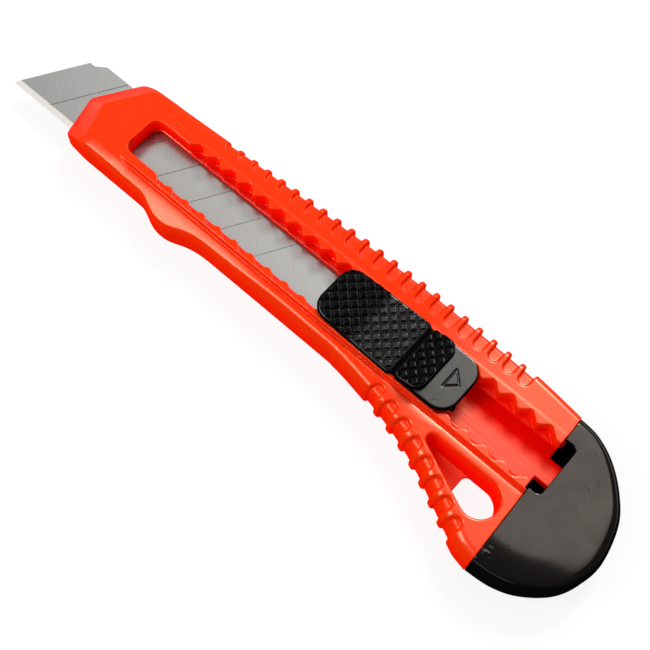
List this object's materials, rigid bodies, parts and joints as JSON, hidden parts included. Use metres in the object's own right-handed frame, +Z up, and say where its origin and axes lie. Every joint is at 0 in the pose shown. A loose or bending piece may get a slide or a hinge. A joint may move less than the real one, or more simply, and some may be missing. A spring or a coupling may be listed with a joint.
{
  "type": "utility knife",
  "caption": "Snap-off utility knife with a ribbed moulded handle, a thumb slide that runs in a toothed slot, a rear lock slide and a pull-off end cap.",
  "frame": {"origin": "under the middle of the knife's overall box, on the plane it lies on", "axes": "+X along the knife from the blade towards the end cap, +Y towards the blade's spine side, +Z up out of the slide's face"},
  "size_m": [0.1744, 0.0422, 0.0135],
  "materials": {
    "orange_abs": "injection-moulded gloss",
    "black_abs": "injection-moulded gloss, studded on the pads",
    "blade_steel": "ground carbon steel, lightly oiled",
    "spring_steel": "rolled spring strip"
  },
  "bodies": {
    "handle": {"handle": "orange_abs"},
    "slider": {"thumb_slide": "black_abs", "blade_carrier": "black_abs", "detent_spring": "spring_steel", "blade": "blade_steel"},
    "lock": {"lock_slide": "black_abs"},
    "cap": {"end_cap": "black_abs"}
  },
  "joints": [
    {"name": "blade_slide", "type": "slide", "parent": "handle", "child": "slider", "axis": [1, 0, 0], "range_m": [-0.0558, 0.0245], "deforming": ["detent_spring"]},
    {"name": "lock_pull", "type": "slide", "parent": "slider", "child": "lock", "axis": [1, 0, 0], "range_m": [0, 0.004]},
    {"name": "cap_pull", "type": "slide", "parent": "handle", "child": "cap", "axis": [1, 0, 0], "range_m": [0, 0.025]}
  ]
}
